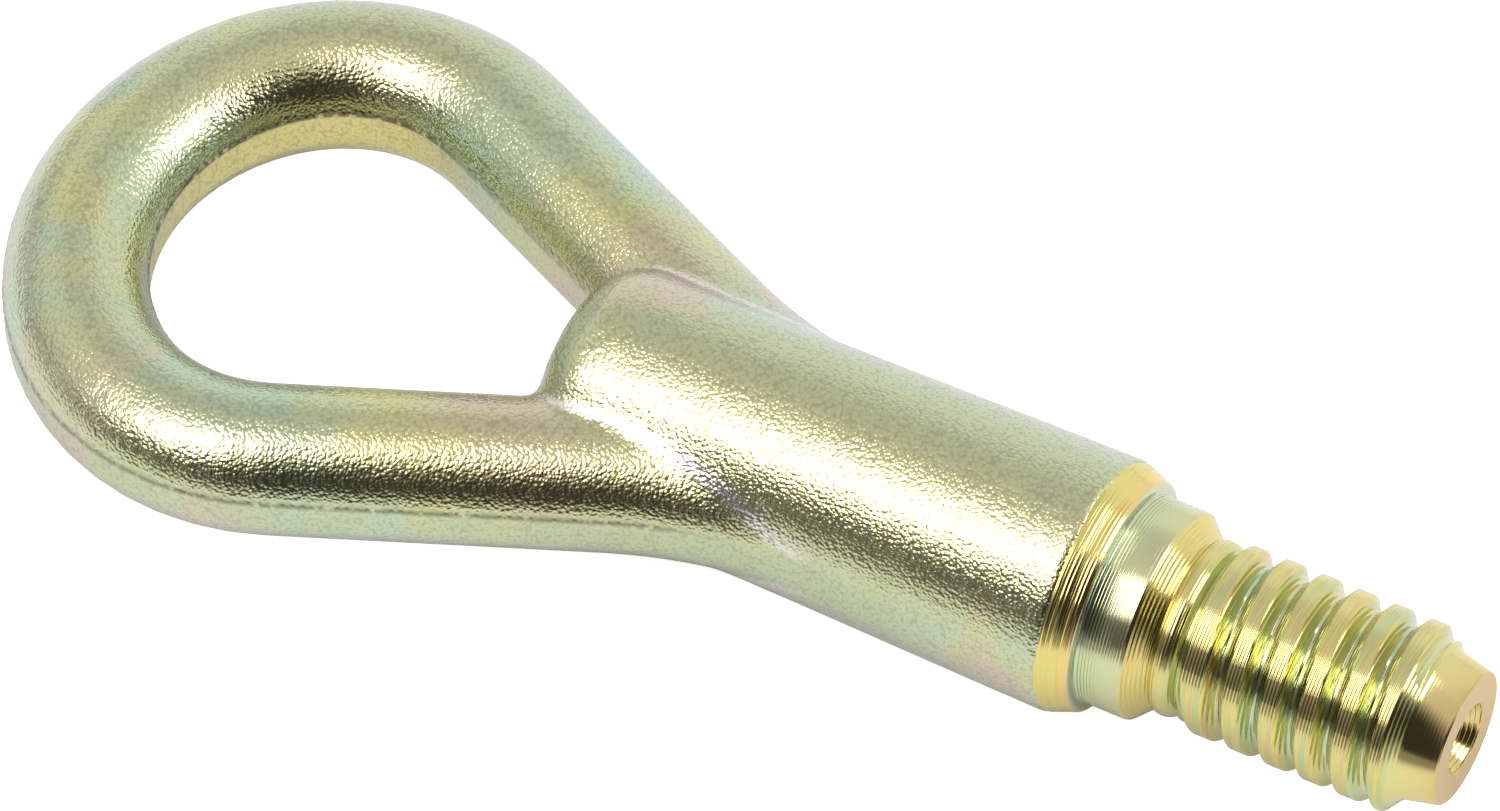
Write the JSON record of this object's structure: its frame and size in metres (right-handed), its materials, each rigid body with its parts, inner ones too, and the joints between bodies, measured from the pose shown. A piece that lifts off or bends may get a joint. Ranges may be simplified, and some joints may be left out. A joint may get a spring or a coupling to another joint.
{
  "type": "tow eye",
  "caption": "Forged ring on a round shank with a shoulder, a plain neck, a coarse right-hand screw thread and a plain point, for screwing into a vehicle's towing socket.",
  "frame": {"origin": "on the screw axis, in the plane of the shoulder seat", "axes": "+X along the screw axis towards the tip, +Y across the ring in its plane, +Z square to the plane of the ring"},
  "size_m": [0.1612, 0.0682, 0.027],
  "materials": {
    "plated_steel": "yellow zinc plated, forged skin pebbly, turned end smooth"
  },
  "bodies": {
    "root": {"tow_eye": "plated_steel"}
  },
  "joints": []
}
